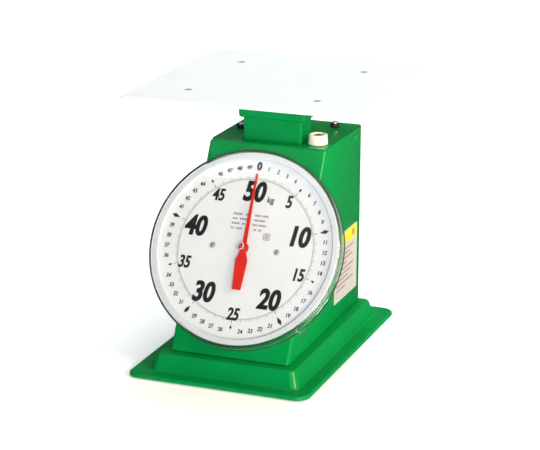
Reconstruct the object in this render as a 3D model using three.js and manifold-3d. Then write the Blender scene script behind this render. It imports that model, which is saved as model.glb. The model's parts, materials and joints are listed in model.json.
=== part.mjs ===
// Mechanical dial platform scale, 50 kg by 200 g. Millimetres, +X right, -Y front, +Z up.
// The origin is on the surface the scale stands on, under the middle of its outline.

import * as THREE from 'three';
import { mergeVertices } from 'three/addons/utils/BufferGeometryUtils.js';
import Module from 'manifold-3d';

const wasm = await Module();
wasm.setup();

// ---- driving dimensions ----

const GAP = 0.3;                  // between pieces that touch
const SHEET = 1.2;                // housing and base sheet thickness
const TRAVEL = 24;                // platform travel for a full turn of the pointer

const PLATE = { width: 270, length: 278, centreY: 27.2, top: 308.4, thick: 2.2, corner: 6 };
const PLATE_HOLES = { x: 76.8, y: 80.5 };             // either side of the plate's centre

const RIM = { halfX: 107.5, front: -166.3, back: 154.9, corner: 15 };        // base outline
const LEDGE = { halfX: 81, front: -134.6, back: 129.2, corner: 6.5, z: 22 }; // top of the base

const BODY = { halfX: 71, bottom: 22.3, top: 240.6, back: 126.4, backCorner: 8 };
const FRONT = { bottomY: -124, topY: -5 };            // front face where it meets base and top
const FOLD = { radius: 3.6, flange: 4.4, lip: 8 };    // the front panel's folded sides and top
const DIAL_UP_SLOPE = 124.1;                          // dial centre, from the front's lower edge

const COVER = { radius: 113.9, wall: 2.4, rim: 17.2, dome: 28.5 };
const DRUM = { radius: 110, wall: 1.2, depth: 9.9, opening: 30 };
const DIAL = { radius: 108.4, thick: 1.1, face: 10 };
const RING = { inner: 103.6, outer: 110.6, front: 14 };
const POINTER = { tip: 86.4, tail: 48, hub: 5.9, back: 13.4, thick: 1.2 };

const NECK = { width: 71.2, depth: 34.6, wall: 1.5, bottom: 215 };
const CAP = { width: 81.4, depth: 41.4, bottom: 266.4, top: 297.6 };
const KNOB = { x: 53.3, y: 18, radius: 11.2, height: 11.6 };
const SPRING = { radius: 7.4, bottom: 73, top: 208.4, ridges: 8 };

const LINK = { fixedY: 95.2, movingY: 27.2, rise: 12, armX: 38, armThick: 3, pin: 2.5 };
const LINK_LEVELS = { upper: 185, lower: 90 };

const PINION_TEETH = 12;
const SHAFT = { radius: 2, back: -39, front: 16.2 };

// ---- values worked out from them ----

const slopeAngle = Math.atan2(FRONT.topY - FRONT.bottomY, BODY.top - LEDGE.z);
const slopeSin = Math.sin(slopeAngle);
const slopeCos = Math.cos(slopeAngle);
const frontY = (z) => FRONT.bottomY + (z - LEDGE.z) * Math.tan(slopeAngle);
const dialCentre = new THREE.Vector3(
  0,
  FRONT.bottomY + DIAL_UP_SLOPE * slopeSin,
  LEDGE.z + DIAL_UP_SLOPE * slopeCos,
);
const dialMatrix = new THREE.Matrix4()
  .makeRotationX(Math.PI / 2 - slopeAngle)
  .setPosition(dialCentre);
const plateBottom = PLATE.top - PLATE.thick;
const sheetInner = BODY.halfX - SHEET;
const panelHalfX = sheetInner - GAP;
const rackTravel = TRAVEL * slopeCos;
const pitchRadius = rackTravel / (2 * Math.PI);
const toothPitch = rackTravel / PINION_TEETH;
const pinHole = LINK.pin + GAP;

// ---- geometry helpers ----

const bare = (geometry) => {
  const plain = geometry.index ? geometry.toNonIndexed() : geometry.clone();
  for (const name of Object.keys(plain.attributes)) {
    if (name !== 'position') plain.deleteAttribute(name);
  }
  return plain;
};

const volumeOf = (geometry) => {
  const p = geometry.attributes.position;
  const [a, b, c] = [new THREE.Vector3(), new THREE.Vector3(), new THREE.Vector3()];
  let sum = 0;
  for (let i = 0; i < p.count; i += 3) {
    a.fromBufferAttribute(p, i);
    b.fromBufferAttribute(p, i + 1);
    c.fromBufferAttribute(p, i + 2);
    sum += a.dot(b.cross(c));
  }
  return sum;
};

const outward = (geometry) => {
  const plain = bare(geometry);
  if (volumeOf(plain) >= 0) return plain;
  const p = plain.attributes.position.array;
  for (let i = 0; i < p.length; i += 9) {
    for (let k = 0; k < 3; k += 1) [p[i + 3 + k], p[i + 6 + k]] = [p[i + 6 + k], p[i + 3 + k]];
  }
  return plain;
};

const solid = (geometry) => {
  const merged = mergeVertices(outward(geometry), 1e-4);
  return new wasm.Manifold(new wasm.Mesh({
    numProp: 3,
    vertProperties: new Float32Array(merged.attributes.position.array),
    triVerts: new Uint32Array(merged.index.array),
  }));
};

const surface = (manifold) => {
  const mesh = manifold.getMesh();
  const geometry = new THREE.BufferGeometry();
  geometry.setAttribute('position', new THREE.BufferAttribute(mesh.vertProperties, 3));
  geometry.setIndex(new THREE.BufferAttribute(mesh.triVerts, 1));
  return geometry;
};

const cut = (geometry, ...tools) => (
  surface(tools.reduce((body, tool) => body.subtract(solid(tool)), solid(geometry)))
);
const join = (geometry, ...more) => (
  surface(more.reduce((body, piece) => body.add(solid(piece)), solid(geometry)))
);
const moved = (geometry, x, y, z) => geometry.clone().translate(x, y, z);
const onDial = (geometry) => geometry.clone().applyMatrix4(dialMatrix);

const box = (x0, x1, y0, y1, z0, z1) => (
  new THREE.BoxGeometry(x1 - x0, y1 - y0, z1 - z0)
    .translate((x0 + x1) / 2, (y0 + y1) / 2, (z0 + z1) / 2)
);

const rod = (axis, x, y, z, from, to, radius, sides = 16) => {
  const cylinder = new THREE.CylinderGeometry(radius, radius, to - from, sides);
  cylinder.translate(0, (from + to) / 2, 0);
  if (axis === 'x') cylinder.rotateZ(-Math.PI / 2);
  if (axis === 'z') cylinder.rotateX(Math.PI / 2);
  return cylinder.translate(x, y, z);
};

// A profile of [radius, height] points turned about +Z.
const turned = (profile, sides = 48) => (
  new THREE.LatheGeometry(profile.map(([r, h]) => new THREE.Vector2(r, h)), sides)
    .rotateX(Math.PI / 2)
);
const ring = (inner, outer, z0, z1, sides = 48) => (
  turned([[inner, z0], [outer, z0], [outer, z1], [inner, z1], [inner, z0]], sides)
);

const roundedRect = (x0, x1, y0, y1, r) => {
  const s = new THREE.Shape();
  s.moveTo(x0 + r, y0);
  s.lineTo(x1 - r, y0);
  s.absarc(x1 - r, y0 + r, r, -Math.PI / 2, 0);
  s.lineTo(x1, y1 - r);
  s.absarc(x1 - r, y1 - r, r, 0, Math.PI / 2);
  s.lineTo(x0 + r, y1);
  s.absarc(x0 + r, y1 - r, r, Math.PI / 2, Math.PI);
  s.lineTo(x0, y0 + r);
  s.absarc(x0 + r, y0 + r, r, Math.PI, 1.5 * Math.PI);
  return s;
};
const extruded = (shape, z0, z1, curveSegments = 4) => (
  new THREE.ExtrudeGeometry(shape, { depth: z1 - z0, bevelEnabled: false, curveSegments })
    .translate(0, 0, z0)
);
const polygon = (points) => new THREE.Shape(points.map(([x, y]) => new THREE.Vector2(x, y)));

// An outline of [y, z] points extruded along X.
const sideProfile = (points, x0, x1) => (
  extruded(polygon(points), x0, x1)
    .applyMatrix4(new THREE.Matrix4().set(0, 0, 1, 0, 1, 0, 0, 0, 0, 1, 0, 0, 0, 0, 0, 1))
);

const corners = (dx, dy, cx = 0, cy = 0) => (
  [[-dx, -dy], [dx, -dy], [dx, dy], [-dx, dy]].map(([x, y]) => [cx + x, cy + y])
);

// ---- nodes ----

const scale = new THREE.Group();
const dialGroup = new THREE.Group();
dialGroup.applyMatrix4(dialMatrix);
scale.add(dialGroup);

const finish = (color, roughness, metalness, opacity = 1) => (
  { color, roughness, metalness, opacity, transparent: opacity < 1 }
);
const GREEN = finish(0x079146, 0.35, 0.1);
const WHITE = finish(0xeef3fa, 0.35, 0.1);
const CREAM = finish(0xf8f6e0, 0.4, 0);
const RED = finish(0xdc2d1e, 0.45, 0);
const CLEAR = finish(0xf4f8f6, 0.08, 0, 0.3);
const RUBBER = finish(0x1b1b1b, 0.8, 0);
const STEEL = finish(0xb9bdc0, 0.35, 0.9);
const ZINC = finish(0x9da2a6, 0.5, 0.8);
const BRASS = finish(0xb99a4f, 0.35, 0.9);
const LABEL = finish(0xe9e6de, 0.6, 0);
const SEAL = finish(0x2c3a33, 0.6, 0);

const add = (name, geometry, look, parent = scale) => {
  const shape = outward(geometry);
  shape.computeVertexNormals();
  const mesh = new THREE.Mesh(shape, new THREE.MeshStandardMaterial(look));
  mesh.name = name;
  parent.add(mesh);
};

// ---- base ----

// Points of a rounded rectangle, the same number for every size, so that rings can be joined.
const outline = (halfX, front, back, corner, z) => {
  const steps = 5;
  const centres = [
    [halfX - corner, front + corner, -90],
    [halfX - corner, back - corner, 0],
    [corner - halfX, back - corner, 90],
    [corner - halfX, front + corner, 180],
  ];
  return centres.flatMap(([x, y, from]) => (
    Array.from({ length: steps + 1 }, (_, i) => {
      const angle = THREE.MathUtils.degToRad(from + (90 * i) / steps);
      return [x + corner * Math.cos(angle), y + corner * Math.sin(angle), z];
    })
  ));
};

// A closed skin through a list of rings, with flat caps on the first and the last.
const lofted = (rings) => {
  const count = rings[0].length;
  const positions = [];
  const face = (...points) => points.forEach((point) => positions.push(...point));
  rings.slice(1).forEach((upper, level) => {
    const lower = rings[level];
    for (let i = 0; i < count; i += 1) {
      const j = (i + 1) % count;
      face(lower[i], lower[j], upper[j]);
      face(lower[i], upper[j], upper[i]);
    }
  });
  const [first, last] = [rings[0], rings[rings.length - 1]];
  for (let i = 1; i < count - 1; i += 1) {
    face(first[0], first[i + 1], first[i]);
    face(last[0], last[i], last[i + 1]);
  }
  const geometry = new THREE.BufferGeometry();
  geometry.setAttribute('position', new THREE.Float32BufferAttribute(positions, 3));
  return geometry;
};

// The base's section, from its outer edge inwards: how far in from the rim, how far towards
// the ledge on the way up, and the height of the outside and of the underside.
const addBase = () => {
  const between = (t, corner, z) => outline(
    THREE.MathUtils.lerp(RIM.halfX, LEDGE.halfX, t),
    THREE.MathUtils.lerp(RIM.front, LEDGE.front, t),
    THREE.MathUtils.lerp(RIM.back, LEDGE.back, t),
    corner,
    z,
  );
  const outside = [
    [0, 15, 0.9], [0, 15, 3.8], [0.04, 14, 4.8], [0.11, 13, 5], [0.63, 9.5, 3.5],
    [0.72, 8.5, 4.4], [0.93, 7, 20.4], [1, 6.5, 22],
  ];
  const underside = [
    [0.045, 13.8, -1], [0.045, 13.8, 3.2], [0.075, 13.2, 3.7], [0.12, 12.8, 3.8],
    [0.65, 9, 2.3], [0.755, 8, 3.4], [0.97, 6.6, 19.6], [1.03, 5.6, 20.8],
  ];
  const pan = cut(
    lofted(outside.map(([t, corner, z]) => between(t, corner, z))),
    lofted(underside.map(([t, corner, z]) => between(t, corner, z))),
  );
  add('base_pan', pan, GREEN);

  const halfX = 84;
  const lid = cut(
    extruded(roundedRect(-halfX, halfX, -134, 127, 8), 2, 3.2),
    ...FEET.map(([x, y]) => rod('z', x, y, 0, 1, 4, 4, 14)),
  );
  add('bottom_plate', lid, ZINC);

  const foot = turned([
    [0, 0], [11, 0], [12, 0.8], [12, 1.7], [3.7, 1.7], [3.7, 3.5], [6.2, 3.5], [4.6, 6.4], [0, 6.4],
  ], 14);
  FEET.forEach(([x, y], i) => add(`rubber_foot_${i + 1}`, moved(foot, x, y, 0), RUBBER));
};
const FEET = corners(70, 103, 0, -3);

// ---- housing ----

// Section of the front sheet with both sides folded back: across, and back from its face.
const foldedSection = () => {
  const { radius, flange } = FOLD;
  const centre = BODY.halfX - radius;
  const s = new THREE.Shape();
  s.moveTo(BODY.halfX, -flange);
  s.absarc(centre, -radius, radius, 0, Math.PI / 2);
  s.absarc(-centre, -radius, radius, Math.PI / 2, Math.PI);
  s.lineTo(-BODY.halfX, -flange);
  s.lineTo(SHEET - BODY.halfX, -flange);
  s.absarc(-centre, -radius, radius - SHEET, Math.PI, Math.PI / 2, true);
  s.absarc(centre, -radius, radius - SHEET, Math.PI / 2, 0, true);
  s.lineTo(BODY.halfX - SHEET, -flange);
  return s;
};
const foldedStrip = (from, to) => extruded(foldedSection(), -to, -from).rotateX(Math.PI / 2);

const addHousing = () => {
  const sideBack = BODY.back - BODY.backCorner;
  const innerTop = BODY.top - SHEET;
  const lipEnd = FRONT.topY + FOLD.lip;
  const foldDepth = FOLD.flange + GAP;
  const foldBack = (z) => frontY(z) + foldDepth / slopeCos;
  const side = sideProfile([
    [foldBack(BODY.bottom), BODY.bottom],
    [sideBack, BODY.bottom],
    [sideBack, BODY.top],
    [lipEnd + GAP, BODY.top],
    [lipEnd + GAP, BODY.top - foldDepth],
    [foldBack(BODY.top - foldDepth), BODY.top - foldDepth],
  ], sheetInner, BODY.halfX);
  add('side_panel_right', side, GREEN);
  add('side_panel_left', moved(side, -sheetInner - BODY.halfX, 0, 0), GREEN);

  // Front panel: the sloping face, a lip folded back over the top, and an inner flange each side.
  const reach = 150;
  const face = cut(
    onDial(foldedStrip(-DIAL_UP_SLOPE - FOLD.flange, DIAL_UP_SLOPE + 2 * FOLD.flange)),
    box(-reach, reach, -reach, reach, BODY.top, BODY.top + 20),
    box(-reach, reach, -reach, reach, BODY.bottom - 20, BODY.bottom),
  );
  const lip = foldedStrip(FRONT.topY, lipEnd).translate(0, 0, BODY.top);
  const flange = (x0, x1) => onDial(box(x0, x1, 14 - DIAL_UP_SLOPE, DIAL_UP_SLOPE - 18, -12, -1.5));
  const front = cut(
    join(
      face, lip,
      flange(panelHalfX - SHEET, panelHalfX), flange(-panelHalfX, SHEET - panelHalfX),
    ),
    onDial(rod('z', 0, 0, 0, -20, 20, 30, 32)),
  );
  add('front_panel', front, GREEN);

  // Top panel, with the neck opening, the zero knob's hole and two turned-down side flanges.
  const centreX = BODY.halfX - BODY.backCorner;
  const inside = panelHalfX - centreX;
  const topPlan = new THREE.Shape();
  topPlan.moveTo(-panelHalfX, lipEnd + GAP);
  topPlan.lineTo(panelHalfX, lipEnd + GAP);
  topPlan.absarc(centreX, sideBack, inside, 0, Math.PI / 2);
  topPlan.absarc(-centreX, sideBack, inside, Math.PI / 2, Math.PI);
  const top = cut(
    join(
      extruded(topPlan, innerTop, BODY.top),
      box(-panelHalfX, SHEET - panelHalfX, 12, 112, BODY.top - 18, BODY.top - SHEET / 2),
      box(panelHalfX - SHEET, panelHalfX, 12, 112, BODY.top - 18, BODY.top - SHEET / 2),
    ),
    box(
      -NECK.width / 2 - 1.6, NECK.width / 2 + 1.6,
      PLATE.centreY - NECK.depth / 2 - 1.6, PLATE.centreY + NECK.depth / 2 + 1.6,
      innerTop - 2, BODY.top + 2,
    ),
    rod('z', KNOB.x, KNOB.y, 0, innerTop - 2, BODY.top + 2, 6.6, 16),
    ...TOP_SCREWS.map(([x, y]) => rod('z', x, y, 0, innerTop - 2, BODY.top + 2, 2.4, 12)),
  );
  add('top_panel', top, GREEN);

  // Back cover: a flat back with rounded corners that meet the side panels.
  const plan = new THREE.Shape();
  const backStart = sideBack + GAP;
  const outer = BODY.backCorner;
  const inner = outer - SHEET;
  plan.moveTo(BODY.halfX, backStart);
  plan.absarc(centreX, sideBack, outer, 0.04, Math.PI / 2);
  plan.absarc(-centreX, sideBack, outer, Math.PI / 2, Math.PI - 0.04);
  plan.lineTo(-BODY.halfX, backStart);
  plan.lineTo(-sheetInner, backStart);
  plan.absarc(-centreX, sideBack, inner, Math.PI - 0.05, Math.PI / 2, true);
  plan.absarc(centreX, sideBack, inner, Math.PI / 2, 0.05, true);
  plan.lineTo(sheetInner, backStart);
  add('back_cover', extruded(plan, BODY.bottom, BODY.top, 5), GREEN);

  const washer = ring(2.5, 5.4, BODY.top + GAP, BODY.top + 4.8, 16);
  const topScrew = join(
    rod('z', 0, 0, 0, BRIDGE.bottom + GAP, BODY.top + 6, 2, 10),
    turned([
      [0, BODY.top + 5.1], [3.8, BODY.top + 5.1], [3.5, BODY.top + 6.8], [2, BODY.top + 7.6],
      [0, BODY.top + 7.8],
    ], 12),
  );
  TOP_SCREWS.forEach(([x, y], i) => {
    add(`top_screw_washer_${i + 1}`, moved(washer, x, y, 0), RUBBER);
    add(`top_screw_${i + 1}`, moved(topScrew, x, y, 0), STEEL);
  });

  const label = box(BODY.halfX + GAP, BODY.halfX + 0.55, 28, 109, 44.5, 126);
  add('side_label', label, LABEL);
};
const TOP_SCREWS = [[-56.5, 57], [44.5, 101.5]];
const BRIDGE = { bottom: 229, top: 233, inner: 42.4, outer: 62, front: 8, back: 112 };

// ---- chassis ----

const addChassis = () => {
  const thick = 2;
  const flangeX = 43;
  const flangeFront = 84;
  const webFront = LINK.fixedY + 14.8;
  const webBack = webFront + thick;
  const chassis = cut(
    join(
      box(-flangeX, flangeX, webFront, webBack, BODY.bottom, BRIDGE.bottom - GAP),
      box(-flangeX, thick - flangeX, flangeFront, webBack, BODY.bottom, BRIDGE.bottom - GAP),
      box(flangeX - thick, flangeX, flangeFront, webBack, BODY.bottom, BRIDGE.bottom - GAP),
      box(-flangeX, flangeX, flangeFront, webBack, BODY.bottom, BODY.bottom + thick),
    ),
    ...Object.values(LINK_LEVELS).map((z) => rod('x', 0, LINK.fixedY, z, -60, 60, pinHole, 16)),
  );
  add('chassis_channel', chassis, ZINC);

  const bridge = cut(
    box(BRIDGE.inner, BRIDGE.outer, BRIDGE.front, BRIDGE.back, BRIDGE.bottom, BRIDGE.top),
    rod('z', KNOB.x, KNOB.y, 0, BRIDGE.bottom - 1, BRIDGE.top + 1, 3, 12),
    ...TOP_SCREWS.map(([x, y]) => rod('z', Math.abs(x), y, 0, BRIDGE.bottom - 1, BRIDGE.top + 1, 2.4, 12)),
  );
  add('spring_bridge_right', bridge, ZINC);
  add('spring_bridge_left', outward(bridge.clone().scale(-1, 1, 1)), ZINC);

  for (const [name, z] of Object.entries(LINK_LEVELS)) {
    add(`${name}_chassis_pin`, rod('x', 0, LINK.fixedY, z, -44, 44, LINK.pin, 16), STEEL);
  }
};

// ---- dial ----

const addDial = () => {
  const { radius, wall: drumWall, depth, opening } = DRUM;
  const dialBack = DIAL.face - DIAL.thick;
  const drum = turned([
    [opening, GAP], [radius - 1.2, GAP], [radius, 1.5], [radius, depth], [radius - drumWall, depth],
    [radius - drumWall, GAP + drumWall], [opening, GAP + drumWall], [opening, GAP],
  ]);
  const posts = DIAL_SCREWS.map((x) => rod('z', x, 0, 0, 1, dialBack - GAP, 4, 12));
  const holes = DIAL_SCREWS.map((x) => rod('z', x, 0, 0, 3, 12, 1.9, 10));
  add('dial_drum', cut(join(drum, ...posts), ...holes), GREEN, dialGroup);

  const dial = ring(4, DIAL.radius, dialBack, DIAL.face);
  add('dial_plate', cut(dial, ...holes), WHITE, dialGroup);

  const screw = join(
    turned([[0, DIAL.face + GAP], [3.4, DIAL.face + GAP], [2.8, DIAL.face + 1.4], [0, DIAL.face + 1.8]], 16),
    rod('z', 0, 0, 0, 4, DIAL.face + 0.6, 1.6, 10),
  );
  DIAL_SCREWS.forEach((x, i) => add(`dial_screw_${i + 1}`, moved(screw, x, 0, 0), ZINC, dialGroup));

  const { inner, outer, front } = RING;
  add('dial_ring', turned([
    [inner, DIAL.face + GAP], [outer, DIAL.face + GAP], [outer, front], [inner + 1.2, front],
    [inner, front - 1.2], [inner, DIAL.face + GAP],
  ]), WHITE, dialGroup);

  add('cover_seal', ring(COVER.radius - COVER.wall, COVER.radius + 0.5, GAP, 1.5), SEAL, dialGroup);

  // Clear cover: a straight side wall, a rounded rim, a shallow dome and a small centre boss.
  const domeAt = (r) => COVER.rim + (COVER.dome - COVER.rim) * (1 - (r / COVER.radius) ** 2);
  const wall = COVER.wall;
  const outside = [[COVER.radius, 1.8], [COVER.radius, COVER.rim - 2], [COVER.radius - 1.2, COVER.rim - 0.2]];
  const radii = [100, 70, 36];
  const bossTop = COVER.dome + 1.2;
  const above = radii.map((r) => [r, domeAt(r)]);
  const below = [...radii].reverse().map((r) => [r - 0.6, domeAt(r) - wall]);
  const cover = turned([
    ...outside, ...above, [5, domeAt(5)], [4.4, bossTop], [0, bossTop], [0, COVER.dome - wall],
    ...below, [COVER.radius - wall - 0.4, COVER.rim - wall - 0.4], [COVER.radius - wall, COVER.rim - wall - 2],
    [COVER.radius - wall, 1.8], [COVER.radius, 1.8],
  ]);
  add('clear_cover', cover, CLEAR, dialGroup);

  const clip = join(
    box(COVER.radius + GAP, COVER.radius + 2.2, -5.5, 5.5, 2.2, 12.5),
    box(COVER.radius + GAP, COVER.radius + 8, -5.5, 5.5, 1.8, 3.4),
  ).rotateZ(THREE.MathUtils.degToRad(-45));
  add('cover_clip', clip, CLEAR, dialGroup);
};
const DIAL_SCREWS = [-38.6, 38.6];

// ---- pointer and its shaft ----

const addPointer = () => {
  const { tip, tail, hub, back, thick } = POINTER;
  const right = [
    [1, tip], [2.5, hub], [3.6, -hub], [7.1, -14.2], [6.6, -24], [5, -tail],
  ];
  const left = right.map(([x, y]) => [-x, y]).reverse();
  const blade = extruded(polygon([...left, ...right]), back, back + thick);
  const disc = rod('z', 0, 0, 0, back, back + thick, hub, 24);
  const bore = rod('z', 0, 0, 0, back - 1, back + 3, 3.3, 20);
  add('pointer', cut(join(blade, disc), bore), RED, dialGroup);

  add('pointer_hub', turned([
    [SHAFT.radius + GAP, back - 1.6], [3, back - 1.6], [3, back + thick + GAP], [5.2, back + thick + GAP],
    [4.8, back + thick + 1.5], [SHAFT.radius + GAP, back + thick + 1.5], [SHAFT.radius + GAP, back - 1.6],
  ], 16), RED, dialGroup);

  // Toothed part of the shaft: wide enough for the rack, which slides along it as it drops.
  const [root, outer] = [pitchRadius - 0.75, pitchRadius + 0.3];
  const gear = new THREE.Shape();
  for (let i = 0; i < PINION_TEETH; i += 1) {
    const middle = ((i + 0.5) * 2 * Math.PI) / PINION_TEETH;
    const flank = [[root, -0.14], [outer, -0.05], [outer, 0.05], [root, 0.14]];
    flank.forEach(([r, a]) => {
      const [x, y] = [r * Math.cos(middle + a), r * Math.sin(middle + a)];
      if (i === 0 && r === root && a < 0) gear.moveTo(x, y);
      else gear.lineTo(x, y);
    });
  }
  const shaft = rod('z', 0, 0, 0, SHAFT.back, SHAFT.front, SHAFT.radius, 16);
  add('pinion_shaft', join(shaft, extruded(gear, -32, -11)), STEEL, dialGroup);
};

const addMovement = () => {
  const thick = 2;
  const [frontZ, backZ] = [-3.5, -36];
  const bushHole = rod('z', 0, 0, 0, -40, 4, 4.8, 16);
  const frontPlate = cut(extruded(roundedRect(-40, 40, -44, 48, 4), frontZ, frontZ + thick, 2), bushHole);
  add('movement_front_plate', frontPlate, BRASS, dialGroup);

  // Bridge: a rear plate folded from one strip, with a leg above and a leg below the shaft.
  const leg = (y) => box(-14, 14, y, y + thick, backZ, frontZ - GAP);
  const foot = (y0, y1) => box(-14, 14, y0, y1, frontZ - GAP - thick, frontZ - GAP);
  const bridge = cut(
    join(
      box(-14, 14, BRIDGE_LEGS.low, BRIDGE_LEGS.high + thick, backZ, backZ + thick),
      leg(BRIDGE_LEGS.low), leg(BRIDGE_LEGS.high),
      foot(BRIDGE_LEGS.low - 8, BRIDGE_LEGS.low + 1),
      foot(BRIDGE_LEGS.high + 1, BRIDGE_LEGS.high + 10),
    ),
    bushHole,
  );
  add('movement_bridge', bridge, BRASS, dialGroup);

  const bush = (z) => turned([
    [SHAFT.radius + 0.2, z], [6, z], [6, z + 1.2], [4.5, z + 1.2], [4.5, z + 4.3],
    [SHAFT.radius + 0.2, z + 4.3], [SHAFT.radius + 0.2, z],
  ], 16);
  add('front_bush', bush(frontZ - 1.5), BRASS, dialGroup);
  add('rear_bush', bush(backZ - 1.5), BRASS, dialGroup);
};
const BRIDGE_LEGS = { low: -32, high: 34 };

// ---- rack: it drops with the platform and turns the pinion ----

const addRack = () => {
  const teeth = 16;
  const tooth = { root: pitchRadius + 0.6, tip: pitchRadius - 0.35, base: 0.46, end: 0.2 };
  const start = -2;
  const points = [];
  for (let i = 0; i < teeth; i += 1) {
    const y = (start + i) * toothPitch;
    points.push([tooth.root, y - tooth.base], [tooth.tip, y - tooth.end]);
    points.push([tooth.tip, y + tooth.end], [tooth.root, y + tooth.base]);
  }
  const low = (start - 0.5) * toothPitch;
  const high = (start + teeth - 0.5) * toothPitch;
  const back = tooth.root + 4.6;
  const [inner, outer] = [-17.5, -14.5];               // depths behind the sloping front
  const bar = polygon([[back, low], [back, high], [tooth.root, high], ...points.reverse(), [tooth.root, low]]);
  add('rack', extruded(bar, inner, outer), STEEL, dialGroup);

  // Arm: across from the rack's top, then straight back to the moving frame.
  const [armLeft, armRight] = [20, 25];
  const across = onDial(box(back + GAP, armRight, high - 6, high, inner, outer));
  const elbow = new THREE.Vector3((armLeft + armRight) / 2, high - 3, (inner + outer) / 2)
    .applyMatrix4(dialMatrix);
  const backward = box(armLeft, armRight, elbow.y - 2, CHANNEL.web - GAP, elbow.z - 3, elbow.z + 3);
  add('rack_arm', join(across, backward), STEEL);
};

// ---- platform, neck and moving frame ----

const CHANNEL = { halfX: 33.6, thick: 2.5, front: 14, web: 37.5, bottom: 66, top: 236 };

const addPlatform = () => {
  const { centreY, thick, top } = PLATE;
  const holes = corners(PLATE_HOLES.x, PLATE_HOLES.y, 0, centreY);
  const halfX = PLATE.width / 2;
  const halfY = PLATE.length / 2;
  const sink = turned([[0, -3], [2.4, -3], [2.4, -thick], [4.8, 0.2], [0, 0.2]], 20);
  const sheet = extruded(
    roundedRect(-halfX, halfX, centreY - halfY, centreY + halfY, PLATE.corner), top - thick, top,
  );
  add('load_plate', cut(sheet, ...holes.map(([x, y]) => moved(sink, x, y, top))), WHITE);

  const screw = turned([
    [0, -10], [2, -10], [2, -thick - 0.1], [4.1, -0.35], [4, -0.1], [0, -0.1],
  ], 20);
  holes.forEach(([x, y], i) => add(`plate_screw_${i + 1}`, moved(screw, x, y, top), STEEL));

  // Spider: a cross of two diagonal arms on a centre block.
  const [armZ0, armZ1] = [CAP.top + GAP, plateBottom - GAP];
  const reach = Math.hypot(PLATE_HOLES.x, PLATE_HOLES.y) + 9;
  const angle = Math.atan2(PLATE_HOLES.y, PLATE_HOLES.x);
  const armHalf = 10;
  const blockHalf = [39, 19];
  const arm = (turn) => (
    box(-reach, reach, -armHalf, armHalf, armZ0, armZ1).rotateZ(turn).translate(0, centreY, 0)
  );
  const block = box(
    -blockHalf[0], blockHalf[0], centreY - blockHalf[1], centreY + blockHalf[1], armZ0, armZ1,
  );
  const screwHoles = holes.map(([x, y]) => rod('z', x, y, 0, armZ0 - 1, armZ1 + 1, 2.3, 12));
  add('platform_spider', cut(join(block, arm(angle), arm(-angle)), ...screwHoles), ZINC);

  const capHalf = [CAP.width / 2, CAP.depth / 2];
  const round = (inset, z) => outline(
    capHalf[0] - inset, centreY - capHalf[1] + inset, centreY + capHalf[1] - inset, 4 - inset / 2, z,
  );
  const neckHalf = [NECK.width / 2, NECK.depth / 2];
  const pocket = box(
    -neckHalf[0] - GAP, neckHalf[0] + GAP, centreY - neckHalf[1] - GAP, centreY + neckHalf[1] + GAP,
    CAP.bottom - 1, CAP.top - 3,
  );
  const cap = lofted([
    round(2.4, CAP.bottom), round(0.6, CAP.bottom + 0.9), round(0, CAP.bottom + 3), round(0, CAP.top),
  ]);
  add('neck_cap', cut(cap, pocket), GREEN);

  const tube = extruded(
    roundedRect(-neckHalf[0], neckHalf[0], centreY - neckHalf[1], centreY + neckHalf[1], 2.5),
    NECK.bottom, CAP.top - 3 - GAP, 3,
  );
  const bore = box(
    NECK.wall - neckHalf[0], neckHalf[0] - NECK.wall,
    centreY - neckHalf[1] + NECK.wall, centreY + neckHalf[1] - NECK.wall, NECK.bottom - 1, CAP.top - 5,
  );
  add('neck_post', cut(tube, bore), GREEN);
};

const addMovingFrame = () => {
  const { halfX, thick, front, web, bottom, top } = CHANNEL;
  const levels = Object.values(LINK_LEVELS).map((z) => z + LINK.rise);
  const channel = cut(
    join(
      box(-halfX, halfX, web, web + thick, bottom, top),
      box(-halfX, thick - halfX, front, web + 1, bottom, top),
      box(halfX - thick, halfX, front, web + 1, bottom, top),
    ),
    ...levels.map((z) => rod('x', 0, LINK.movingY, z, -60, 60, pinHole, 16)),
  );
  add('moving_frame', channel, ZINC);

  for (const [name, level] of Object.entries(LINK_LEVELS)) {
    add(`${name}_frame_pin`, rod('x', 0, LINK.movingY, level + LINK.rise, -41, 41, LINK.pin, 16), STEEL);
  }

  const eyeZ = SPRING.bottom - 12.5;
  const beamHalf = KNOB.x + 7.5;
  const holes = [-1, 1].map((side) => rod('y', side * KNOB.x, 0, eyeZ, 0, 36, 3.2, 14));
  const beam = cut(
    join(
      box(-beamHalf, beamHalf, KNOB.y - 1.5, KNOB.y + 1.5, 54, 65.6),
      box(-30.4, 30.4, KNOB.y - 1.5, KNOB.y + 1.5, 60, 92),
    ),
    ...holes,
  );
  add('spring_beam', beam, ZINC);
};

// ---- parallel links that keep the platform level ----

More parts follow.
